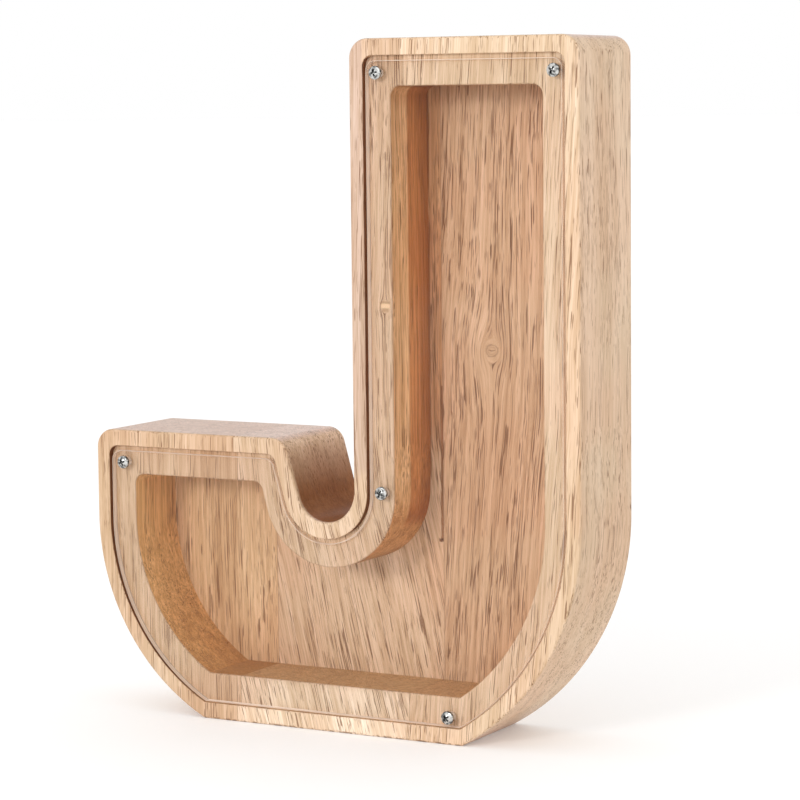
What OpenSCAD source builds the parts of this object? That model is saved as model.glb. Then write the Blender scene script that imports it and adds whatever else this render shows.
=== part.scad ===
/* [Letter] */
// Height of the letter, foot to top of the stem
letter_h = 200; // [190:1:220]
// Width of the letter, outside of the hook to outside of the stem
letter_w = 161; // [156:1:168]
// Thickness of the glued wooden block, front to back
letter_t = 35; // [30:0.5:45]
// Width of the upright stem
stem_w = 72; // [66:1:76]
// Height of the top of the hook above the foot
hook_h = 85.2; // [80:0.2:90]
// Rounding of the outside corners
outer_corner_r = 5.5; // [3:0.5:7]

/* [Bowl] */
// Radius of the curved lower left of the letter
left_bowl_r = 65.8; // [62:0.2:70]
// Height at which the lower left curve starts
left_bowl_z = 59; // [56:1:62]
// Radius of the curved lower right of the letter
right_bowl_r = 74; // [70:0.5:76]
// Height at which the lower right curve starts
right_bowl_z = 64.5; // [62:0.5:67]

/* [Notch] */
// Radius of the round bottom of the gap between hook and stem
notch_r = 9.6; // [8.4:0.2:11]
// Height of the centre of that round bottom
notch_z = 71; // [68:0.5:73]
// Lean of the hook's inner edge away from upright, in degrees
notch_lean = 15.4; // [10:0.2:20]

/* [Routing] */
// Width of the wooden lip around the window, along the upright edges
side_rim = 4.4; // [4:0.1:5]
// Width of the same lip along the level edges
level_rim = 4.8; // [4.2:0.1:5.2]
// Width of the whole front border along the upright edges, outside edge to money space
side_border = 12.2; // [12:0.1:14]
// Width of the whole front border along the level edges
level_border = 13.4; // [12.4:0.1:14]
// Depth of the step that takes the window
rebate_depth = 2.2; // [1.9:0.1:3]
// Depth of the money space behind the front face
pocket_depth = 24; // [18:0.5:26]
// Rounding left by the cutter in the corners of the step and of the money space
cutter_r = 3; // [2:0.5:4]
// Length of the coin slot
slot_l = 34; // [30:1:38]
// Width of the coin slot
slot_w = 5; // [4.5:0.1:7]

/* [Staves] */
// Width of the left stave of the block
left_stave_w = 48.6; // [44:0.2:52]
// Width of the middle stave of the block
middle_stave_w = 56.9; // [54:0.1:59]

/* [Window] */
// Thickness of the clear panel
window_t = 2; // [1.5:0.1:2.5]
// Play between the panel and the lip, before the panel drops
window_play = 0.85; // [0.4:0.05:1.2]
// How far the panel hangs below the middle of its play
window_drop = 0.55; // [0:0.05:0.8]

/* [Screws] */
// Diameter of the pan head
head_d = 3.9; // [3.4:0.1:4.4]
// Height of the pan head
head_h = 1.5; // [1.2:0.1:1.8]
// Outside diameter of the thread
thread_d = 2.2; // [2:0.1:2.4]
// Diameter of the thread's core
core_d = 1.6; // [1.4:0.1:1.7]
// Length of the screw under its head
screw_l = 10; // [8:0.5:14]
// Pitch of the thread
thread_pitch = 0.8; // [0.6:0.1:1]
// Distance of the left stem screw from the stem's left edge
top_left_inset = 8.8; // [8:0.1:9.6]
// Distance of the right stem screw from the stem's right edge
top_right_inset = 7.6; // [7.4:0.1:9.6]
// Distance of the screw beside the notch from the stem's left edge
inner_corner_inset = 9.3; // [8.6:0.1:9.8]
// Distance of the top screws and of the hook screw below the edge above them
screw_drop = 9.7; // [8.6:0.1:10.4]
// Distance of the hook screw from the letter's left edge
hook_inset = 9.7; // [8.6:0.1:10.4]
// Distance of the base screw from the letter's right edge
base_inset = 41.9; // [41:0.1:46]
// Height of the base screw above the foot
base_screw_z = 7.9; // [7.4:0.1:9.4]

/* [Hidden] */
$fn = 96;

wood = [0.91, 0.79, 0.66];
wood_pink = [0.88, 0.74, 0.61];
wood_dark = [0.84, 0.70, 0.56];
clear_panel = [0.85, 0.92, 0.95, 0.35];
zinc = [0.75, 0.76, 0.78];

// The letter stands on z = 0, centred left to right and front to back; the front face looks along -Y
left_x = -letter_w / 2;
right_x = letter_w / 2;
front_y = -letter_t / 2;
stem_left_x = right_x - stem_w;
stem_mid_x = right_x - stem_w / 2;
left_bowl_x = left_x + left_bowl_r;
right_bowl_x = right_x - right_bowl_r;
notch_x = stem_left_x - notch_r;
far = 2 * letter_h;

left_seam_x = left_x + left_stave_w;
right_seam_x = left_seam_x + middle_stave_w;

// How far a cutter reaches past the material that it cuts
air = 1;

// The window hole gives the thread room all round, and the pilot hole holds it with a running fit
clearance_hole_d = thread_d + 0.6;
pilot_d = thread_d + 0.1;
pilot_l = screw_l + 1;
head_seat_gap = 0.03;
window_y = front_y + rebate_depth - window_t;

// The cross recess, the straight rim of the pan head, the plain neck and the point of a screw
recess_w = 0.55;
recess_l = 2.5;
recess_depth = 0.9;
head_rim_h = 0.6;
neck_l = 0.8;
point_l = 1.6;
root_l = 0.2;

// Each screw's x and z, and the turn of its cross
screw_top_left_at = [stem_left_x + top_left_inset, letter_h - screw_drop];
screw_top_right_at = [right_x - top_right_inset, letter_h - screw_drop];
screw_inner_corner_at = [stem_left_x + inner_corner_inset, notch_z];
screw_hook_at = [left_x + hook_inset, hook_h - screw_drop];
screw_base_at = [right_x - base_inset, base_screw_z];
SCREWS = [screw_top_left_at, screw_top_right_at, screw_inner_corner_at, screw_hook_at, screw_base_at];

function turned(angle) = [cos(angle), sin(angle)];

// A flat outline drawn as x across and z up becomes a plate between two depths
module plate(y_front, y_back) {
    translate([0, y_back, 0])
        rotate([90, 0, 0])
            linear_extrude(y_back - y_front)
                children();
}

// What rounding takes from a corner whose two edges leave it at the given angles, and a little air around it
module corner_waste(corner, angle_a, angle_b, r) {
    half = abs(angle_b - angle_a) / 2;
    outwards = (angle_a + angle_b) / 2 + 180;
    centre = corner - turned(outwards) * r / sin(half);
    difference() {
        polygon([centre, centre + turned(angle_a - 90) * (r + air), corner + turned(outwards) * 3 * air,
                 centre + turned(angle_b + 90) * (r + air)]);
        translate(centre) circle(r);
    }
}

// The middle of the notch's round bottom, which drops where level edges move further than upright ones
function notch_centre(side, level) = [notch_x, notch_z - (level - side)];

// The point where that round bottom passes into the hook's leaning inner edge
function notch_touch(side, level) = notch_centre(side, level) - (notch_r + side) * turned(notch_lean);

// Where the hook's top edge meets its leaning inner edge
function hook_tip(side, level) =
    let (touch = notch_touch(side, level),
         top = hook_h - level)
    [touch[0] - (top - touch[1]) * tan(notch_lean), top];

// The gap between hook and stem, grown by side and level
module notch(side, level) {
    centre = notch_centre(side, level);
    touch = notch_touch(side, level);
    stem_edge = notch_x + notch_r + side;
    translate(centre) circle(notch_r + side);
    polygon([touch, touch + far * turned(90 + notch_lean), [stem_edge, far], [stem_edge, centre[1]], centre]);
}

// The letter's outline with its upright and round edges moved in by side and its level edges by level
module letter_outline(side, level, corner_r) {
    hook_top = hook_h - level;
    stem_top = letter_h - level;
    stem_left = stem_left_x + side;
    difference() {
        union() {
            intersection() {
                translate([left_bowl_x, left_bowl_z]) circle(left_bowl_r - side);
                translate([left_x, level]) square([left_bowl_r, left_bowl_z - level]);
            }
            intersection() {
                translate([right_bowl_x, right_bowl_z]) circle(right_bowl_r - side);
                translate([right_bowl_x, level]) square([right_bowl_r, right_bowl_z - level]);
            }
            translate([left_bowl_x, level])
                square([right_bowl_x - left_bowl_x, right_bowl_z - level]);
            translate([left_x + side, left_bowl_z])
                square([left_bowl_r - side, hook_top - left_bowl_z]);
            translate([left_bowl_x, right_bowl_z])
                square([right_x - side - left_bowl_x, hook_top - right_bowl_z]);
            translate([stem_left, hook_top])
                square([stem_w - 2 * side, stem_top - hook_top]);
        }
        notch(side, level);
        corner_waste([left_x + side, hook_top], -90, 0, corner_r);
        corner_waste(hook_tip(side, level), 180, 270 + notch_lean, corner_r);
        corner_waste([stem_left, stem_top], -90, 0, corner_r);
        corner_waste([right_x - side, stem_top], 180, 270, corner_r);
    }
}

module coin_slot() {
    straight = slot_l - slot_w;
    slot_y = front_y + (rebate_depth + pocket_depth) / 2;
    slot_depth = level_border + 2 * air;
    translate([stem_mid_x, slot_y, letter_h - level_border - air]) {
        translate([-straight / 2, -slot_w / 2, 0]) cube([straight, slot_w, slot_depth]);
        for (end = [-1, 1])
            translate([end * straight / 2, 0, 0])
                cylinder(d = slot_w, h = slot_depth);
    }
}

module pilot_holes() {
    for (at = SCREWS)
        translate([at[0], front_y + pilot_l + rebate_depth, at[1]])
            rotate([90, 0, 0])
                cylinder(d = pilot_d, h = pilot_l + rebate_depth);
}

// The whole wooden letter: a solid block with a step, a money space, a coin slot and pilot holes
module wooden_letter() {
    difference() {
        plate(front_y, -front_y) letter_outline(0, 0, outer_corner_r);
        plate(front_y - air, front_y + rebate_depth) letter_outline(side_rim, level_rim, cutter_r);
        plate(front_y, front_y + pocket_depth) letter_outline(side_border, level_border, cutter_r);
        coin_slot();
        pilot_holes();
    }
}

// One stave of the glued block: the part of the letter between two upright glue lines
module stave(x_from, x_to) {
    intersection() {
        wooden_letter();
        translate([x_from, front_y - air, -air])
            cube([x_to - x_from, letter_t + 2 * air, letter_h + 2 * air]);
    }
}

module left_stave() {
    color(wood) stave(left_x - air, left_seam_x);
}

module middle_stave() {
    color(wood_dark) stave(left_seam_x, right_seam_x);
}

module right_stave() {
    color(wood_pink) stave(right_seam_x, right_x + air);
}

module window_panel() {
    color(clear_panel)
        difference() {
            translate([0, 0, -window_drop])
                plate(window_y, window_y + window_t)
                    letter_outline(side_rim + window_play, level_rim + window_play, cutter_r);
            for (at = SCREWS)
                translate([at[0], window_y + window_t + air, at[1]])
                    rotate([90, 0, 0])
                        cylinder(d = clearance_hole_d, h = window_t + 2 * air);
        }
}

// Half of the screw's shank seen from the side: a saw-tooth thread that ends in a point
module shank_profile() {
    turns = floor((screw_l - neck_l - point_l) / thread_pitch);
    tooth = [for (i = [0:turns - 1], step = [0, 1])
        [step == 0 ? core_d / 2 : thread_d / 2, -neck_l - (i + step / 2) * thread_pitch]];
    polygon(concat([[0, root_l], [core_d / 2, root_l]], tooth,
                   [[core_d / 2, -neck_l - turns * thread_pitch], [0, -screw_l]]));
}

// A cross-recessed pan head screw whose head stands on the window; the cross is turned by spin
module pan_screw(at, spin) {
    dome_h = head_h - head_rim_h;
    dome_r = (pow(head_d / 2, 2) + pow(dome_h, 2)) / (2 * dome_h);
    translate([at[0], window_y - head_seat_gap, at[1]])
        rotate([90, 0, 0])
            difference() {
                union() {
                    intersection() {
                        cylinder(d = head_d, h = head_h);
                        translate([0, 0, head_h - dome_r]) sphere(dome_r);
                    }
                    rotate_extrude() shank_profile();
                }
                for (quarter = [0, 90])
                    rotate(spin + quarter)
                        translate([-recess_l / 2, -recess_w / 2, head_h - recess_depth])
                            cube([recess_l, recess_w, head_h]);
            }
}

module screw_top_left() {
    color(zinc) pan_screw(at = screw_top_left_at, spin = 10);
}

module screw_top_right() {
    color(zinc) pan_screw(at = screw_top_right_at, spin = 62);
}

module screw_inner_corner() {
    color(zinc) pan_screw(at = screw_inner_corner_at, spin = 70);
}

module screw_hook() {
    color(zinc) pan_screw(at = screw_hook_at, spin = 20);
}

module screw_base() {
    color(zinc) pan_screw(at = screw_base_at, spin = 40);
}

left_stave();
middle_stave();
right_stave();
window_panel();
screw_top_left();
screw_top_right();
screw_inner_corner();
screw_hook();
screw_base();
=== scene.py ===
"""A letter-shaped wooden money box: a routed block of three glued staves, a clear window and five screws."""

from math import acos, cos, degrees, hypot, pi, radians, sin, sqrt, tan

import bmesh
import bpy
from mathutils import Matrix, Vector


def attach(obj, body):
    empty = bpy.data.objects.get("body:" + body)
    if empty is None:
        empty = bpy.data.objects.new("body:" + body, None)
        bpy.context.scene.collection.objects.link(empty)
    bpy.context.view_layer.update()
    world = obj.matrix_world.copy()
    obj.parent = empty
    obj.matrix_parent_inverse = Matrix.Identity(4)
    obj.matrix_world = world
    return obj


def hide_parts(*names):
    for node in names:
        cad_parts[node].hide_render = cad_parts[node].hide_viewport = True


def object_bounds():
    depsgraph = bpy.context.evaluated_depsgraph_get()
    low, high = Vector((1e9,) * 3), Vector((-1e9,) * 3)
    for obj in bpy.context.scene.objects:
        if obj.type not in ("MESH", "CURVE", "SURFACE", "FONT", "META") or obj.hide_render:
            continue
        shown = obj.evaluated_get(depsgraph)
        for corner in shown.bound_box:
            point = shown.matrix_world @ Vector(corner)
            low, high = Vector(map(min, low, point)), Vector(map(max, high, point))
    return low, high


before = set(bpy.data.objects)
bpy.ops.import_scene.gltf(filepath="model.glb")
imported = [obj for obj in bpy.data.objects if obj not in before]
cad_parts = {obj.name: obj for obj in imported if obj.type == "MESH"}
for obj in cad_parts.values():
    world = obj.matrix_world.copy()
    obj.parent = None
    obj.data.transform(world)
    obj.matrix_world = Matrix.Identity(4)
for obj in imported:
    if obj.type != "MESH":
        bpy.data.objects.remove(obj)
cad_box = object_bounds()
MM = 0.001

# The letter's outside, from the frame, in mm: x across, y from front to back, z up from the foot.
# Only the screw heads stand in front of the wood, so the front is taken from the back.
LEFT, RIGHT = (round(corner[0] / MM, 3) for corner in cad_box)
BACK, HEIGHT = (round(cad_box[1][axis] / MM, 3) for axis in (1, 2))
FRONT = -BACK

# The outline, as in the CAD source
STEM_W, HOOK_TOP, OUTER_CORNER = 72.0, 85.2, 5.5
STEM_LEFT = RIGHT - STEM_W
LEFT_BOWL_R, LEFT_BOWL_Z, RIGHT_BOWL_R, RIGHT_BOWL_Z = 65.8, 59.0, 74.0, 64.5
LEFT_BOWL_X, RIGHT_BOWL_X = LEFT + LEFT_BOWL_R, RIGHT - RIGHT_BOWL_R
NOTCH_R, NOTCH_Z, LEAN = 9.6, 71.0, 15.4
NOTCH_X = STEM_LEFT - NOTCH_R

# The routing: widths of the lip and of the whole border, the cutter's radius and the two depths
SIDE_RIM, LEVEL_RIM, SIDE_BORDER, LEVEL_BORDER, CUTTER = 4.4, 4.8, 12.2, 13.4, 3.0
SHELF_Y, POCKET_Y = FRONT + 2.2, FRONT + 24
SHELF_R = 0.5  # rounding of the shelf's inner edge
SLOT_X, SLOT_Y, SLOT_L, SLOT_W = STEM_LEFT + STEM_W / 2, (SHELF_Y + POCKET_Y) / 2, 34.0, 5.0

# The glue lines, the window and the holes for the screws
SEAMS = (LEFT + 48.6, LEFT + 48.6 + 56.9)
WINDOW_PLAY, WINDOW_DROP, WINDOW_FRONT = 0.85, 0.55, SHELF_Y - 2
PILOT_D, PILOT_L, PILOT_FLARE, CLEARANCE_D = 2.3, 11.0, 0.2, 2.8

# A gap that keeps pieces on different bodies from touching
GAP = 0.03

# Each screw's x and z, and the turn of its cross in degrees
SCREWS = {
    "top_left": (17.3, 190.3, 10),
    "top_right": (72.9, 190.3, 62),
    "inner_corner": (17.8, 71.0, 70),
    "hook": (-70.8, 75.5, 20),
    "base": (38.6, 7.9, 40),
}


def arc(cx, cz, r, start, end, steps):
    """Points on a circle from one angle to another, in degrees."""
    angles = [radians(start + (end - start) * i / steps) for i in range(steps + 1)]
    return [(cx + r * cos(a), cz + r * sin(a)) for a in angles]


def outline(side, level, corner):
    """The letter's outline with its upright and round edges moved in by side and its level edges by level.
    Every outline has the same points in the same order, so that any two can be joined by faces."""
    rr, lr, nr = RIGHT_BOWL_R - side, LEFT_BOWL_R - side, NOTCH_R + side
    hook_top, stem_top = HOOK_TOP - level, HEIGHT - level
    right_foot = degrees(acos(sqrt(rr**2 - (RIGHT_BOWL_Z - level) ** 2) / rr))
    left_foot = degrees(acos(sqrt(lr**2 - (LEFT_BOWL_Z - level) ** 2) / lr))
    notch_z = NOTCH_Z - (level - side)
    lean = radians(LEAN)
    touch = (NOTCH_X - nr * cos(lean), notch_z - nr * sin(lean))
    tip = (touch[0] - (hook_top - touch[1]) * tan(lean), hook_top)
    half, inwards = radians((90 + LEAN) / 2), radians((180 + 270 + LEAN) / 2)
    tip_c = (tip[0] + cos(inwards) * corner / sin(half), tip[1] + sin(inwards) * corner / sin(half))
    points = arc(RIGHT_BOWL_X, RIGHT_BOWL_Z, rr, -right_foot, 0, 72)
    points += arc(RIGHT - side - corner, stem_top - corner, corner, 0, 90, 14)
    points += arc(STEM_LEFT + side + corner, stem_top - corner, corner, 90, 180, 14)
    points += arc(NOTCH_X, notch_z, nr, 0, -180 + LEAN, 56)
    points += arc(tip_c[0], tip_c[1], corner, LEAN, 90, 14)
    points += arc(LEFT + side + corner, hook_top - corner, corner, 90, 180, 14)
    points += arc(LEFT_BOWL_X, LEFT_BOWL_Z, lr, 180, 180 + left_foot, 72)
    return points


def quarter(steps=5):
    """(0..1 sine, 0..1 cosine) pairs round a quarter circle."""
    return [(sin(pi / 2 * i / steps), cos(pi / 2 * i / steps)) for i in range(steps + 1)]


def prism(name, rings):
    """A closed mesh through rings of points in mm, with the first and last ring capped."""
    bm = bmesh.new()
    rows = [[bm.verts.new(Vector(p) * MM) for p in ring] for ring in rings]
    count = len(rows[0])
    for a, b in zip(rows, rows[1:]):
        for j in range(count):
            k = (j + 1) % count
            bm.faces.new((a[j], a[k], b[k], b[j]))
    bm.faces.new(rows[0])
    bm.faces.new(rows[-1])
    bmesh.ops.recalc_face_normals(bm, faces=bm.faces)
    return made(name, bm)


def loft(name, rings):
    """A closed mesh through rings of (y, outline), with the first and last ring capped."""
    return prism(name, [[(x, y, z) for x, z in points] for y, points in rings])


def made(name, bm):
    """A scene object from a bmesh, which it frees."""
    mesh = bpy.data.meshes.new(name)
    bm.to_mesh(mesh)
    bm.free()
    obj = bpy.data.objects.new(name, mesh)
    bpy.context.scene.collection.objects.link(obj)
    return obj


def apply_modifiers(obj):
    dg = bpy.context.evaluated_depsgraph_get()
    mesh = bpy.data.meshes.new_from_object(obj.evaluated_get(dg))
    obj.modifiers.clear()
    old, obj.data = obj.data, mesh
    bpy.data.meshes.remove(old)


def cut(obj, cutters):
    """Takes each cutter out of obj, exactly, and deletes the cutters."""
    for cutter in cutters:
        m = obj.modifiers.new("cut", "BOOLEAN")
        m.operation, m.solver, m.object = "DIFFERENCE", "EXACT", cutter
    apply_modifiers(obj)
    for cutter in cutters:
        bpy.data.objects.remove(cutter)


def finish_faces(obj, materials, slot_of):
    """Gives obj its materials, and each face the slot that slot_of names for its lowest and highest point."""
    obj.data.materials.clear()
    for material in materials:
        obj.data.materials.append(material)
    for face in obj.data.polygons:
        points = [obj.data.vertices[v].co / MM for v in face.vertices]
        low = [min(p[i] for p in points) for i in range(3)]
        high = [max(p[i] for p in points) for i in range(3)]
        face.material_index = slot_of(low, high)


def soften(obj, angle=32):
    """Smooth shading across rounded edges, with flat faces kept flat."""
    bm = bmesh.new()
    bm.from_mesh(obj.data)
    for f in bm.faces:
        f.smooth = True
    for e in bm.edges:
        e.smooth = len(e.link_faces) == 2 and e.calc_face_angle(0) < radians(angle)
    bm.to_mesh(obj.data)
    bm.free()
    m = obj.modifiers.new("normals", "WEIGHTED_NORMAL")
    m.keep_sharp, m.weight = True, 100


def bore(x, z, d, y_from, y_to, flare=0.0):
    """A round cutter along y, which widens at its front end by flare."""
    def ring(y, r):
        turns = [2 * pi * i / sides for i in range(sides)]
        return [(x + r * cos(a), y, z + r * sin(a)) for a in turns]

    sides, r = 40, d / 2
    rings = [ring(y_to, r), ring(y_from + flare, r), ring(y_from, r + flare)]
    rings.append(ring(y_from - 1, r + flare))
    return prism("bore", rings)


def slot_cutter():
    """The coin slot's cutter, with a small chamfer where it meets the top."""
    bottom, chamfer = HEIGHT - 15, 0.7
    steps = [radians(-90 + 180 * i / 20) for i in range(21)]

    def ring(z, grow):
        r, half = SLOT_W / 2 + grow, (SLOT_L - SLOT_W) / 2
        right = [(SLOT_X + half + r * cos(a), SLOT_Y + r * sin(a), z) for a in steps]
        left = [(SLOT_X - half - r * cos(a), SLOT_Y - r * sin(a), z) for a in steps]
        return right + left

    levels = [(bottom, 0), (HEIGHT - chamfer, 0), (HEIGHT, chamfer), (HEIGHT + 1, chamfer)]
    return prism("slot", [ring(z, grow) for z, grow in levels])


def wooden_block():
    """The whole letter as one closed mesh, from the floor of the money space round to the back."""
    front_r, back_r, step_r = 0.8, 1.5, 0.3
    rings = []

    def ring(y, side, level, corner):
        rings.append((y, outline(side, level, corner)))

    ring(POCKET_Y, SIDE_BORDER, LEVEL_BORDER, CUTTER)
    for s, c in quarter():
        d = SHELF_R * (1 - c)
        ring(SHELF_Y + SHELF_R * (1 - s), SIDE_BORDER - d, LEVEL_BORDER - d, CUTTER + d)
    ring(SHELF_Y, SIDE_RIM, LEVEL_RIM, CUTTER)
    for s, c in quarter(3):
        d = step_r * (1 - c)
        ring(FRONT + step_r * (1 - s), SIDE_RIM - d, LEVEL_RIM - d, CUTTER + d)
    for s, c in quarter(6):
        d = front_r * (1 - s)
        ring(FRONT + front_r * (1 - c), d, d, OUTER_CORNER - d)
    for s, c in quarter(6):
        d = back_r * (1 - c)
        ring(BACK - back_r * (1 - s), d, d, OUTER_CORNER - d)
    block = loft("block", rings)
    cutters = [slot_cutter()]
    cutters += [bore(x, z, PILOT_D, SHELF_Y, SHELF_Y + PILOT_L, PILOT_FLARE) for x, z, _ in SCREWS.values()]
    cut(block, cutters)
    return block


def wood_kind(low, high):
    """The kind of surface, as its place in PARTS, of a face of the wooden letter."""
    near, pocket_top = 0.01, HEIGHT - LEVEL_BORDER
    x, y = (low[0] + high[0]) / 2, (low[1] + high[1]) / 2
    beside_slot = abs(x - SLOT_X) < SLOT_L / 2 + 1 and abs(y - SLOT_Y) < SLOT_W / 2 + 1
    if beside_slot and low[2] > pocket_top - near and low[2] < HEIGHT - near:
        return KINDS.index("wall")
    if low[1] > POCKET_Y - near and high[1] < POCKET_Y + near:
        return KINDS.index("floor")
    behind_shelf = low[1] > SHELF_Y + near and high[1] > SHELF_Y + SHELF_R + near
    if behind_shelf and high[1] < POCKET_Y + near and high[2] < pocket_top + near:
        return KINDS.index("wall")
    if high[1] < SHELF_Y + near and high[1] - low[1] > 1:
        return KINDS.index("step")
    return KINDS.index("front" if high[1] < SHELF_Y + SHELF_R + near else "outside")


def stave(block, name, x_from, x_to):
    """The part of the block between two upright glue lines, as a closed mesh of its own."""
    bm = bmesh.new()
    bm.from_mesh(block.data)
    for x, outwards in ((x_from, -1), (x_to, 1)):
        if x is None:
            continue
        whole = bm.verts[:] + bm.edges[:] + bm.faces[:]
        found = bmesh.ops.bisect_plane(
            bm, geom=whole, dist=1e-7, plane_co=(x * MM, 0, 0), plane_no=(outwards, 0, 0),
            clear_outer=True)
        edges = [e for e in found["geom_cut"] if isinstance(e, bmesh.types.BMEdge)]
        bmesh.ops.edgenet_fill(bm, edges=edges)
    bmesh.ops.recalc_face_normals(bm, faces=bm.faces)
    obj = made(name, bm)
    soften(obj)
    return obj


def window():
    """The clear panel, which hangs a little low in its play and has small chamfers all round."""
    chamfer, seat = 0.25, SHELF_Y - GAP
    side, level = SIDE_RIM + WINDOW_PLAY, LEVEL_RIM + WINDOW_PLAY
    steps = [(seat, chamfer), (seat - chamfer, 0), (WINDOW_FRONT + chamfer, 0), (WINDOW_FRONT, chamfer)]
    rings = []
    for y, d in steps:
        rings.append((y, [(px, pz - WINDOW_DROP) for px, pz in outline(side + d, level + d, CUTTER - d)]))
    panel = loft("clear_window", rings)
    cut(panel, [bore(x, z, CLEARANCE_D, WINDOW_FRONT - 1, SHELF_Y + 1) for x, z, _ in SCREWS.values()])
    soften(panel)
    return panel


# The pan head: its radius, height, straight rim, rounded shoulder, and the seat it stands on
HEAD_R, HEAD_H, RIM_H, SHOULDER, SEAT = 1.95, 1.5, 0.55, 0.42, WINDOW_FRONT - GAP
# The cross recess: how far its arms reach and half their width, at the floor and above the head
CROSS_DEPTH, FLOOR_REACH, FLOOR_HALF, CROSS_OVER, CROSS_REACH, CROSS_HALF = 0.85, 0.72, 0.2, 0.2, 1.34, 0.33
# The shank: its radii, length and pitch, its root inside the head, and its plain neck
CORE_R, THREAD_R, SHANK_L, PITCH, ROOT, NECK_L = 0.8, 1.1, 10.0, 0.8, 0.3, 0.6
# Its point: the length, the share of the core left at the tip, and the length in which the thread runs out
POINT_L, BLUNT, RUN_OUT = 1.8, 0.06, 2.2


def dome_height(r):
    """Height above the seat of the head's low dome, at r from the axis."""
    rise, flat_r = HEAD_H - RIM_H - SHOULDER, HEAD_R - SHOULDER
    dome = (flat_r**2 + rise**2) / (2 * rise)
    return HEAD_H - dome + sqrt(dome**2 - r**2)


def screw_kind(x, z, low, high):
    """The place in ZINCS for a face of a screw: its head, its cross recess, or its rim and shank."""
    r = hypot((low[0] + high[0]) / 2 - x, (low[2] + high[2]) / 2 - z)
    w = SEAT - (low[1] + high[1]) / 2
    if w < RIM_H:
        return 2
    return int(r < CROSS_REACH + 0.02 and w < dome_height(r) - 0.04)


def pan_screw(name, x, z, spin):
    """A cross-recessed pan head screw with a helical thread. Its axis is w, which runs to the front."""
    def at(u, v, w):
        return Vector((x + u, SEAT - w, z + v)) * MM

    def revolve(bm, profile, count=64):
        turns = [2 * pi * i / count for i in range(count)]
        rows = [[bm.verts.new(at(r * cos(a), r * sin(a), w)) for a in turns] for r, w in profile]
        for a, b in zip(rows, rows[1:]):
            for j in range(count):
                k = (j + 1) % count
                bm.faces.new((a[j], a[k], b[k], b[j]))
        bm.faces.new(rows[0])
        bm.faces.new(rows[-1])

    # The head: a straight rim, a rounded shoulder and a low dome
    profile = [(HEAD_R - 0.1, 0), (HEAD_R, 0.1), (HEAD_R, RIM_H)]
    for s, c in quarter(5)[1:]:
        profile.append((HEAD_R - SHOULDER + SHOULDER * c, RIM_H + SHOULDER * s))
    for i in range(1, 9):
        r = (HEAD_R - SHOULDER) * (1 - i / 8) + 0.02
        profile.append((r, dome_height(r)))
    bm = bmesh.new()
    revolve(bm, profile)
    bmesh.ops.recalc_face_normals(bm, faces=bm.faces)
    head = made(name, bm)

    # The recess: a tapered cross
    def cross(w, reach, half):
        turn = radians(spin)
        corners = []
        for q in range(4):
            a = turn + q * pi / 2
            for u, v in ((half, -half), (reach, -half), (reach, half)):
                corners.append((u * cos(a) - v * sin(a), u * sin(a) + v * cos(a)))
        return [tuple(at(u, v, w) / MM) for u, v in corners]

    floor_of_cross = cross(HEAD_H - CROSS_DEPTH, FLOOR_REACH, FLOOR_HALF)
    cut(head, [prism("cross", [floor_of_cross, cross(HEAD_H + CROSS_OVER, CROSS_REACH, CROSS_HALF)])])
    m = head.modifiers.new("edge", "BEVEL")
    m.width, m.segments, m.limit_method, m.angle_limit = 0.05 * MM, 2, "ANGLE", radians(40)
    apply_modifiers(head)

    # The shank: one surface round the axis, whose radius follows a screw thread
    around, steps = 24, 150
    bm = bmesh.new()
    bm.from_mesh(head.data)
    rows = []
    for i in range(steps + 1):
        w = ROOT - (SHANK_L + ROOT) * i / steps
        row = []
        for j in range(around):
            turn = (w / PITCH - j / around) % 1
            tooth = max(0.0, 1 - abs(turn - 0.5) * 4)
            fade = min(1, max(0, (-w - NECK_L) / PITCH)) * min(1, max(0, (SHANK_L + w) / RUN_OUT))
            body = CORE_R * min(1, BLUNT + (SHANK_L + w) / POINT_L)
            r = body + (THREAD_R - CORE_R) * tooth * fade
            row.append(bm.verts.new(at(r * cos(2 * pi * j / around), r * sin(2 * pi * j / around), w)))
        rows.append(row)
    faces = []
    for a, b in zip(rows, rows[1:]):
        for j in range(around):
            k = (j + 1) % around
            faces.append(bm.faces.new((a[j], a[k], b[k], b[j])))
    faces += [bm.faces.new(rows[0]), bm.faces.new(rows[-1])]
    bmesh.ops.recalc_face_normals(bm, faces=faces)
    bm.to_mesh(head.data)
    bm.free()
    soften(head, 40)
    return head


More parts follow.
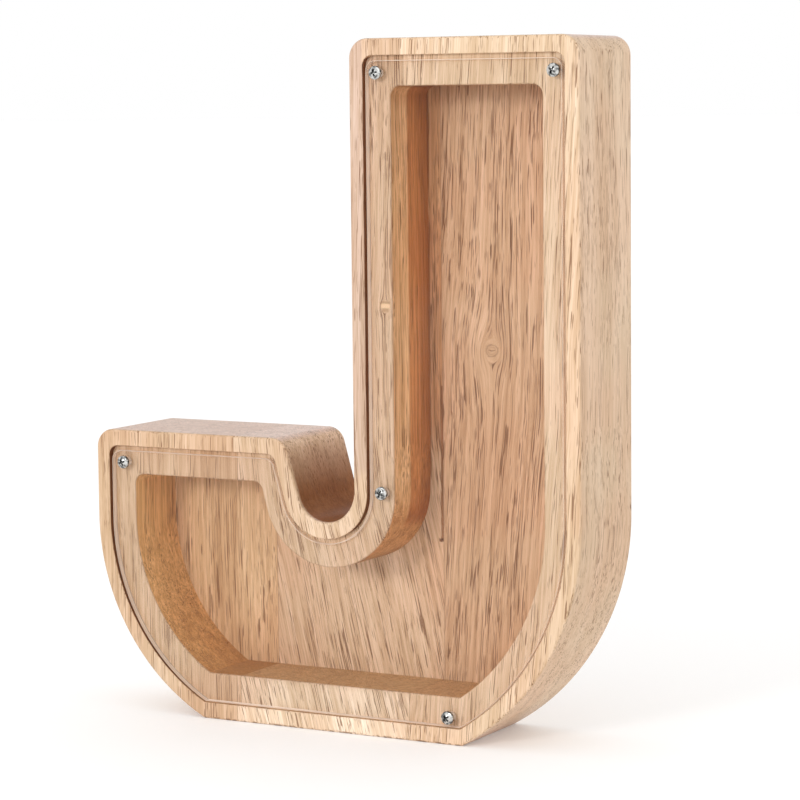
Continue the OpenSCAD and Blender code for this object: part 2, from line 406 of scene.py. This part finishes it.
class Graph:
    """A material built from nodes, with values and sockets mixed freely."""

    def __init__(self, name):
        self.material = bpy.data.materials.new(name)
        self.material.use_nodes = True
        self.tree = self.material.node_tree
        self.tree.nodes.clear()

    def put(self, socket, value):
        if isinstance(value, bpy.types.NodeSocket):
            self.tree.links.new(value, socket)
        elif value is not None:
            socket.default_value = value

    def node(self, kind, inputs=None, **settings):
        n = self.tree.nodes.new(kind)
        for key, value in settings.items():
            setattr(n, key, value)
        for key, value in (inputs or {}).items():
            self.put(n.inputs[key], value)
        return n

    def math(self, operation, a, b=None, clamp=False):
        n = self.node("ShaderNodeMath", operation=operation, use_clamp=clamp)
        for i, value in enumerate((a, b)):
            self.put(n.inputs[i], value)
        return n.outputs[0]

    def add(self, a, b):
        return self.math("ADD", a, b)

    def sub(self, a, b):
        return self.math("SUBTRACT", a, b)

    def mul(self, a, b):
        return self.math("MULTIPLY", a, b)

    def ramp(self, value, low, high, to_low=0.0, to_high=1.0):
        """value mapped smoothly from low..high to to_low..to_high, and held outside it."""
        n = self.node("ShaderNodeMapRange", {
            "Value": value, "From Min": low, "From Max": high, "To Min": to_low, "To Max": to_high,
        }, interpolation_type="SMOOTHSTEP")
        return n.outputs["Result"]

    def join(self, x, y, z):
        n = self.node("ShaderNodeCombineXYZ")
        for i, value in enumerate((x, y, z)):
            self.put(n.inputs[i], value)
        return n.outputs[0]

    def noise(self, vector, detail=2.0, roughness=0.5, colour=False):
        n = self.node("ShaderNodeTexNoise", {
            "Vector": vector, "Scale": 1.0, "Detail": detail, "Roughness": roughness})
        return n.outputs["Color" if colour else "Fac"]

    def cells(self, x, y, z, across, along, seed=0.0):
        """A point for noise whose cells are across mm wide and along mm high."""
        up = self.add(self.math("DIVIDE", z, along), seed)
        return self.join(self.math("DIVIDE", x, across), self.math("DIVIDE", y, across), up)

    def mix(self, factor, a, b, blend="MIX"):
        n = self.node("ShaderNodeMix", data_type="RGBA", blend_type=blend)
        self.put(n.inputs[0], factor)
        for socket, value in ((n.inputs[6], a), (n.inputs[7], b)):
            if isinstance(value, (tuple, list)):
                value = (*value, 1.0) if len(value) == 3 else value
            self.put(socket, value)
        return n.outputs[2]

    def tinted(self, colour, tint):
        return self.mix(1.0, colour, tint, "MULTIPLY")

    def finished(self, shader):
        """The material, with shader as its surface."""
        out = self.node("ShaderNodeOutputMaterial")
        self.tree.links.new(shader.outputs[0], out.inputs[0])
        return self.material


def gauss(g, d, width):
    """exp(-(d / width)^2)"""
    q = g.math("DIVIDE", d, width)
    return g.math("EXPONENT", g.mul(g.mul(q, q), -1))


def knot_marks(g, knot, seed, x, y, z):
    """How far fibres move aside for a knot, its pale disc, its dark lines, and 0 where it has no pores."""
    knot_x, knot_z, y_from, y_to, size, bend = knot
    u, v = g.sub(x, knot_x), g.sub(z, knot_z)
    inside = g.mul(g.ramp(y, y_from - 1, y_from), g.ramp(y, y_to, y_to + 1, 1.0, 0.0))

    # The fibres part round the knot as a stream parts round a pillar, and bend a little further off
    reach = (size * 1.2) ** 2
    spread = g.add(g.mul(u, u), g.mul(g.mul(v, v), 0.5))
    share = g.math("DIVIDE", reach, g.math("MAXIMUM", spread, reach))
    away = g.mul(g.mul(gauss(g, u, 7.0), gauss(g, v, 10.0)), g.math("TANH", g.math("DIVIDE", u, 4.0)))
    away = g.mul(away, g.sub(1.0, share))
    aside = g.mul(g.add(g.mul(u, share), g.mul(away, bend)), inside)

    # Two uneven rings and a crack across the middle
    r = g.math("SQRT", g.add(g.mul(u, u), g.mul(g.mul(v, v), 1.25)))
    uneven = g.noise(g.join(g.math("DIVIDE", x, 1.1), seed, g.math("DIVIDE", z, 1.1)), 2.0)
    wobble = g.sub(uneven, 0.5)
    disc = g.mul(g.ramp(r, size * 1.0, size * 1.7, 1.0, 0.0), inside)
    rim = gauss(g, g.sub(g.add(r, g.mul(wobble, 1.3)), size), 0.22)
    inner = gauss(g, g.sub(g.add(r, wobble), size * 0.62), 0.15)
    rings = g.math("MAXIMUM", rim, g.mul(inner, 0.6))
    crack = gauss(g, g.add(g.mul(v, 1.8), g.mul(wobble, 2.2)), 0.3)
    crack = g.mul(crack, g.ramp(g.math("ABSOLUTE", u), size * 0.4, size * 0.75, 1.0, 0.0))
    lines = g.mul(g.math("MAXIMUM", g.mul(rings, 0.65), crack), inside)
    smooth = g.sub(1.0, g.mul(g.ramp(share, 0.6, 0.95), inside))
    return aside, disc, lines, smooth


def wood(name, look, part):
    """Pale rubberwood: upright fibres, short dark pores, soft bands, knots and glue lines.
    look holds what is particular to a stave and part what is particular to a kind of surface."""
    g = Graph(name)
    place = g.node("ShaderNodeTexCoord").outputs["Object"]
    split = g.node("ShaderNodeSeparateXYZ", {0: place})
    x, y, z = (g.mul(split.outputs[i], 1000.0) for i in range(3))
    seed = look["seed"]

    # Fibres wander a little, lean with height and part round the knots
    drift = g.noise(g.cells(x, y, z, 38, 95, seed), 1.0, 0.4, colour=True)
    wander = g.node("ShaderNodeSeparateXYZ", {0: drift})
    gx = g.add(x, g.mul(g.sub(wander.outputs[0], 0.5), look["wander"]))
    gy = g.add(y, g.mul(g.sub(wander.outputs[1], 0.5), look["wander"]))
    for z_from, z_to, slope in look["lean"]:
        gx = g.add(gx, g.mul(g.math("MINIMUM", g.math("MAXIMUM", z, z_from), z_to), slope))
    marks = []
    for knot in look["knots"]:
        aside, *mark = knot_marks(g, knot, seed, x, y, z)
        gx = g.sub(gx, aside)
        marks.append(mark)

    def grain(across, along, detail, roughness=0.5, shift=0.0):
        """Noise drawn out along the fibres, with cells of the given size in mm."""
        point, offset = g.cells(gx, gy, z, across, along), (seed + shift, seed * 1.7 - shift, shift)
        moved = g.node("ShaderNodeVectorMath", {0: point, 1: offset}, operation="ADD")
        return g.noise(moved.outputs[0], detail, roughness)

    band = grain(11, 160, 2.0, 0.55)
    stripe = grain(1.05, 60, 2.0, 0.6, 7.3)
    fibre = grain(0.30, 18, 2.0, 0.6, 3.1)
    crowd = grain(2.6, 60, 1.0, 0.5, 11.9)
    pore = grain(0.29, 13.0, 0.0, 0.4, 17.0)
    short = grain(0.25, 5.0, 0.0, 0.4, 23.0)
    spot = g.noise(g.cells(x, y, z, 0.5, 2.0), 1.0)
    patch = g.noise(g.cells(x, y, z, 24, 34, seed), 1.0)

    # Long deep pores and short fine ones, more of them where they crowd and none on a knot
    bias = g.ramp(crowd, 0.34, 0.66, 0.09, -0.05)
    level = look["pores"] + part.get("pores", 0.0)
    deep = g.ramp(g.sub(pore, bias), level + 0.04, level + 0.09)
    fine = g.ramp(g.sub(short, bias), level + 0.06, level + 0.12)
    for _, _, smooth in marks:
        deep, fine = g.mul(deep, smooth), g.mul(fine, smooth)

    # Broad bands and blushes, then stripes whose dark sides are also redder
    colour = g.mix(g.ramp(band, 0.33, 0.67), look["light"], look["dark"])
    colour = g.mix(g.ramp(patch, 0.36, 0.64, 0.0, 0.75), colour, g.tinted(colour, look["blush"]))
    tone = g.add(g.ramp(stripe, 0.30, 0.70, -0.085, 0.065), g.ramp(fibre, 0.30, 0.70, -0.07, 0.055))
    tone = g.add(g.mul(tone, part.get("contrast", 1.0)), 1.0)
    hue = g.join(g.math("POWER", tone, 0.85), g.math("POWER", tone, 1.15), g.math("POWER", tone, 1.6))
    colour = g.tinted(colour, hue)

    # Sawn end grain, on faces that look up or down, is flatter and shows the pores as dots
    facing = g.node("ShaderNodeSeparateXYZ", {0: g.node("ShaderNodeNewGeometry").outputs["True Normal"]})
    end = g.ramp(g.math("ABSOLUTE", facing.outputs[2]), 0.72, 0.97)
    colour = g.mix(g.mul(end, 0.6), colour, g.mix(0.5, look["light"], look["dark"]))
    # The kind's end tint: end grain's own cast, but painted shade on the walls' ledges, painted light on the
    # step's ledges and partly painted sheen outside
    colour = g.mix(end, colour, g.tinted(colour, part.get("end", (0.93, 0.96, 1.02))))
    speck = g.add(g.mul(g.ramp(spot, 0.32, 0.68, -0.20, 0.15), end), 1.0)
    colour = g.tinted(colour, g.join(speck, speck, speck))

    for disc, lines, _ in marks:
        colour = g.mix(g.mul(disc, 0.7), colour, look["knot"])
        colour = g.mix(g.mul(lines, look["ring_dark"]), colour, look["knot_ring"])

    def cover(box):
        """1 inside a box of (low, high, softness) limits along x, y and z, roughened by the stripes."""
        share = 1.0
        for socket, limits in zip((x, y, z), box):
            low, high, soft = limits or (None, None, 0)
            jitter = g.add(socket, g.mul(g.sub(stripe, 0.5), 1.6))
            if low is not None:
                share = g.mul(g.ramp(jitter, low - soft, low + soft), share)
            if high is not None:
                share = g.mul(g.ramp(jitter, high - soft, high + soft, 1.0, 0.0), share)
        return share

    # Stains, and the painted shade, shadow and light listed with them, each in its box
    for box, tint in part["stains_and_shade"]:
        colour = g.mix(cover(box), colour, g.tinted(colour, tint))
    colour = g.mix(g.mul(fine, look["fine_dark"]), colour, look["pore"])
    colour = g.mix(g.mul(deep, look["pore_dark"]), colour, look["pore"])
    for seam in SEAMS:
        off = g.math("ABSOLUTE", g.sub(x, seam))
        colour = g.mix(g.ramp(off, 0.03, 0.2, look["glue"], 0.0), colour, look["pore"])

    # Fibres bruised along the foot's front edge
    bruise = g.noise(g.cells(x, y, z, 1.3, 0.9), 1.0)
    worn = g.mul(g.ramp(z, 0.2, 0.9, 1.0, 0.0), g.ramp(bruise, 0.50, 0.60))
    worn = g.mul(worn, g.ramp(y, -16.4, -15.2, 1.0, 0.0))
    colour = g.mix(g.mul(worn, 0.85), colour, look["pore"])
    if "tint" in part:
        colour = g.tinted(colour, part["tint"])

    height = g.add(g.mul(deep, -1.0), g.add(g.mul(fine, -0.5), g.mul(fibre, 0.35)))
    bump = g.node("ShaderNodeBump", {
        "Height": height, "Strength": part.get("bump", 0.55), "Distance": 0.00006})
    uneven = g.add(g.mul(fibre, 0.5), g.mul(patch, 0.5))
    rough = g.ramp(uneven, 0.3, 0.7, part["rough"] - 0.05, part["rough"] + 0.06)
    rough = g.math("ADD", rough, g.mul(deep, 0.15), clamp=True)
    if "end_rough" in part:
        rough = g.add(g.mul(rough, g.sub(1.0, end)), g.mul(end, part["end_rough"]))
    shader = g.node("ShaderNodeBsdfPrincipled", {
        "Base Color": colour, "Roughness": rough, "Normal": bump.outputs[0], "IOR": 1.45})
    if "dull" in part:
        g.put(shader.inputs["Specular IOR Level"], g.sub(0.5, g.mul(cover(part["dull"]), 0.4)))
    return g.finished(shader)


# The kinds of wooden surface: the front border, the money space's walls and floor, the step round the window,
# and everything outside. end and end_rough are the tint and roughness of faces that look up or down, which
# are end grain; on the walls end is painted shade on the ledges, on the step it is painted light that lifts
# the step's painted shade off its lit ledges, and outside it also paints a little sheen. A higher number for
# pores means fewer of them.
PARTS = {
    "front": {"rough": 0.50, "contrast": 1.55, "pores": 0.01},
    # The walls' end tint is painted shade on the money space's ledges that look up or down
    "wall": {"rough": 0.58, "tint": (1.28, 1.19, 0.98), "contrast": 2.4, "bump": 0.4,
             "end": (0.66, 0.59, 0.51)},
    "floor": {"rough": 0.55, "tint": (1.0, 0.95, 0.88), "contrast": 1.9, "pores": -0.01},
    # The step's dark tint is painted shade in the narrow gap round the window
    "step": {"rough": 0.62, "tint": (0.25, 0.13, 0.07), "pores": 0.03, "bump": 0.4, "end": (3.4, 5.9, 9.4)},
    # Outside, end's blue cast is end grain's greyer colour and partly a painted sheen on the faces that look
    # up
    "outside": {"rough": 0.50, "contrast": 1.9, "end": (0.94, 0.90, 1.05), "end_rough": 0.31},
}
KINDS = list(PARTS)

# What the staves share unless LOOKS says otherwise, for instance how strongly the dark marks cover the wood
COMMON = {
    "blush": (1.02, 0.95, 0.94), "pore": (0.20, 0.088, 0.036), "knot": (0.66, 0.48, 0.31),
    "knot_ring": (0.26, 0.14, 0.06), "pore_dark": 0.80, "fine_dark": 0.5, "ring_dark": 0.8, "glue": 0.45,
    "stains_and_shade": [], "knots": [], "lean": [], "wander": 5.0, "pores": 0.60,
}

# The notch's inner face on the hook's side: painted shade darkens the wood there, and it hardly shines
NOTCH_SIDE = ((-13.0, 4.0, 3.0), (-16.2, None, 0.8), (57.0, 82.0, 4.0))

# What is particular to each stave, in mm. lean holds (z from, z to, slope) of the fibres. A knot is
# (x, z, y from, y to, size, how far the fibres bend). A stain, or a patch of painted shade or light, is
# (kinds of surface, limits along x, y and z, tint), where limits are (from, to, softness) or None. What
# stands under a kind's name replaces the values in PARTS, and dull is a box of limits in which the wood
# hardly shines.
LOOKS = {
    "left_board": {
        "seed": 3.7, "light": (0.66, 0.468, 0.305), "dark": (0.565, 0.375, 0.225), "pores": 0.615,
        "stains_and_shade": [(("wall",), None, None, (None, 30.0, 8.0), (0.88, 0.80, 0.72))],
        "floor": {"tint": (1.14, 1.08, 0.95)},
        "wall": {"tint": (1.42, 1.29, 0.84)},
    },
    "middle_board": {
        "seed": 11.2, "light": (0.73, 0.535, 0.372), "dark": (0.615, 0.43, 0.275),
        "lean": [(-10, 66, 0.235), (66, 84, 0.1)],
        "knots": [(18.4, 124.3, -18, -14, 1.0, 0.8)], "ring_dark": 0.0,
        "floor": {"tint": (1.07, 1.05, 1.02)},
        "wall": {"tint": (1.40, 1.36, 1.12)},
        "outside": {"dull": NOTCH_SIDE},
        "stains_and_shade": [
            # The stem's left wall is reddish behind, with painted shade darkening it into the corner and
            # under the notch
            (("wall",), (18.6, None, 1.4), (-5.5, None, 0.6), (56.0, None, 6.0), (0.70, 0.46, 0.28)),
            (("wall",), (18.6, None, 1.4), (1.0, None, 2.5), (56.0, None, 6.0), (0.80, 0.72, 0.62)),
            (("wall",), (-30.0, 21.0, 2.0), None, (40.0, 70.0, 6.0), (0.76, 0.61, 0.46)),
            # Painted shadow of the stem's left wall on the back beside the glue line, painted shade in the
            # corner by the wall, the glue line itself and the chip at its end
            (("floor",), (19.6, None, 0.5), None, (84.0, None, 8.0), (0.98, 0.79, 0.61)),
            (("floor",), (None, 21.2, 0.15), None, (72.0, None, 5.0), (0.60, 0.42, 0.30)),
            (("floor",), (24.3, None, 0.12), None, (54.7, 100.0, 0.15), (0.50, 0.35, 0.25)),
            (("floor",), (23.5, 25.1, 0.12), None, (54.3, 55.3, 0.15), (0.36, 0.24, 0.16)),
            (("floor",), (20.0, None, 0.8), None, (None, 54.0, 0.5), (1.02, 0.985, 0.985)),
            # Painted shade under the top, in the notch and on the lip beside the stem, and the paler border
            # at the foot
            (("wall", "floor"), None, None, (183.0, None, 4.0), (0.78, 0.68, 0.57)),
            (("outside",), *NOTCH_SIDE, (0.41, 0.225, 0.11)),
            (("front",), (8.0, 13.0, 0.15), (None, -15.6, 0.1), (76.0, None, 3.0), (0.81, 0.80, 0.85)),
            (("front",), None, (None, -16.4, 0.1), (None, 5.0, 0.3), (1.20, 1.28, 1.38)),
            (("front",), None, (-16.0, None, 0.1), (None, 13.0, 1.5), (1.19, 1.29, 1.39)),
            # A pale flake on the stem's left shelf, with painted shade above it and a painted shadow below it
            (("front",), (16.7, 19.8, 0.25), (-15.9, None, 0.1), (124.9, 125.6, 0.3), (0.74, 0.66, 0.56)),
            (("front",), (17.2, 19.3, 0.3), (-15.9, None, 0.1), (122.6, 123.5, 0.3), (0.76, 0.67, 0.56)),
            (("front",), (16.7, 19.8, 0.25), (-15.9, None, 0.1), (123.6, 124.9, 0.2), (1.22, 1.19, 1.13)),
        ],
    },
    "right_board": {
        "seed": 23.9, "light": (0.765, 0.577, 0.40), "dark": (0.674, 0.482, 0.31),
        "lean": [(-10, 92, -0.085), (112, 200, -0.05)],
        "knots": [(41.2, 110.7, 5, 18, 1.9, 1.8)],
        # Painted shade under the top of the money space
        "stains_and_shade": [(("wall", "floor"), None, None, (185.0, None, 3.0), (0.85, 0.78, 0.70))],
        "floor": {"tint": (0.90, 0.79, 0.71)},
        "outside": {"tint": (0.96, 0.94, 0.93), "contrast": 0.85, "pores": 0.025},
    },
}


def metal(name, dark, bright):
    """Zinc plate, uneven and a little dulled, from its dark to its bright grey."""
    g = Graph(name)
    place = g.node("ShaderNodeTexCoord").outputs["Object"]
    speck = g.node("ShaderNodeTexNoise", {"Vector": place, "Scale": 1100.0, "Detail": 3.0}).outputs["Fac"]
    colour = g.mix(g.ramp(speck, 0.38, 0.62), (dark * 0.97, dark, dark), (bright, bright, bright * 0.97))
    rough = g.ramp(speck, 0.3, 0.7, 0.20, 0.36)
    bump = g.node("ShaderNodeBump", {"Height": speck, "Strength": 0.25, "Distance": 0.00002})
    return g.finished(g.node("ShaderNodeBsdfPrincipled", {
        "Base Color": colour, "Roughness": rough, "Normal": bump.outputs[0], "Metallic": 1.0}))


def clear(name, tint, haze, shine, rough, milk, metallic):
    """Clear acrylic: what is behind it shows through tint, under a milky gloss whose share is haze plus shine
    times the reflection, which grows towards the edge of sight."""
    g = Graph(name)
    through = g.node("ShaderNodeBsdfTransparent", {"Color": (*tint, 1)})
    gloss = g.node("ShaderNodeBsdfPrincipled", {
        "Base Color": (*milk, 1), "Roughness": rough, "IOR": 1.49, "Metallic": metallic})
    share = g.add(g.mul(g.node("ShaderNodeFresnel", {"IOR": 1.49}).outputs[0], shine), haze)
    return g.finished(g.node("ShaderNodeMixShader", {0: share, 1: through.outputs[0], 2: gloss.outputs[0]}))


# The wooden letter
block = wooden_block()
limits = {"left_board": (None, SEAMS[0]), "middle_board": SEAMS, "right_board": (SEAMS[1], None)}
for name, (x_from, x_to) in limits.items():
    board = stave(block, name, x_from, x_to)
    look = {**COMMON, **LOOKS[name]}
    materials = []
    for kind in KINDS:
        stains_and_shade = [((x, y, z), tint) for kinds, x, y, z, tint in look["stains_and_shade"] if kind in kinds]
        part = {**PARTS[kind], **look.get(kind, {}), "stains_and_shade": stains_and_shade}
        materials.append(wood(f"{name}_{kind}", look, part))
    finish_faces(board, materials, wood_kind)
    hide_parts(name.replace("board", "stave"))
    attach(board, "wooden_letter")
bpy.data.objects.remove(block)

# The window
panel = window()
face_clear = clear("clear_face", tint=(0.975, 0.97, 0.965), haze=0.0, shine=0.25, rough=0.04,
                   milk=(0.95, 0.93, 0.91), metallic=1.0)
edge_clear = clear("clear_edge", tint=(0.93, 0.85, 0.77), haze=0.32, shine=0.4, rough=0.3,
                   milk=(1.0, 0.86, 0.74), metallic=0.0)
finish_faces(panel, [face_clear, edge_clear], lambda low, high: int(high[1] - low[1] > 0.1))
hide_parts("window_panel")
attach(panel, "window")

# The screws
# The screws' zinc: the plate, then darker zinc as painted shade in the cross recess and on the rim and shank
ZINCS = [metal("zinc_plate", 0.13, 0.66), metal("zinc_recess_painted_shade", 0.04, 0.20), metal("zinc_side_painted_shade", 0.06, 0.30)]
for name, (x, z, spin) in SCREWS.items():
    screw = pan_screw(f"pan_screw_{name}", x, z, spin)
    finish_faces(screw, ZINCS, lambda low, high, x=x, z=z: screw_kind(x, z, low, high))
    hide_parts(f"screw_{name}")
    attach(screw, f"screw_{name}_body")

# A plain white floor
bm = bmesh.new()
bmesh.ops.create_grid(bm, x_segments=1, y_segments=1, size=30)
floor = made("floor", bm)
g = Graph("floor_white")
floor.data.materials.append(g.finished(g.node("ShaderNodeBsdfPrincipled", {
    "Base Color": (0.88, 0.88, 0.88, 1), "Roughness": 0.9,
    "Emission Color": (1, 1, 1, 1), "Emission Strength": 0.14})))

# Soft studio light: a white room, and one large lamp above the camera's left
world = bpy.data.worlds.new("studio")
world.use_nodes = True
background = next(n for n in world.node_tree.nodes if n.type == "BACKGROUND")
background.inputs[0].default_value = (1, 1, 1, 1)
background.inputs[1].default_value = 1.0
bpy.context.scene.world = world

lamp_at, lamp_aim = Vector((-0.35, -1.9, 0.62)), Vector((0, 0, 0.09))
data = bpy.data.lights.new("key", "AREA")
data.shape, data.size, data.energy = "DISK", 0.45, 12
lamp = bpy.data.objects.new("key", data)
lamp.location = lamp_at
lamp.rotation_mode = "QUATERNION"
lamp.rotation_quaternion = (lamp_aim - lamp_at).to_track_quat("-Z", "Y")
bpy.context.scene.collection.objects.link(lamp)

# The camera stands where the photograph was taken from, turned about a point on the letter's front
yaw, pitch, roll, distance = radians(28.949), radians(5.892), radians(-0.586), 0.813913
aim = Vector((0.0241253, FRONT * MM, 0.0980747))
back = Vector((sin(yaw) * cos(pitch), -cos(yaw) * cos(pitch), sin(pitch)))
right = Vector((cos(yaw), sin(yaw), 0))
up = back.cross(right)
axes = Matrix((right * cos(roll) + up * sin(roll), up * cos(roll) - right * sin(roll), back)).transposed()
data = bpy.data.cameras.new("camera")
data.sensor_width, data.lens = 36.0, 129.284
data.clip_start, data.clip_end = 0.01, 100
camera = bpy.data.objects.new("camera", data)
camera.matrix_world = Matrix.Translation(aim + back * distance) @ axes.to_4x4()
bpy.context.scene.collection.objects.link(camera)
bpy.context.scene.camera = camera
bpy.context.scene.view_settings.view_transform = "Standard"
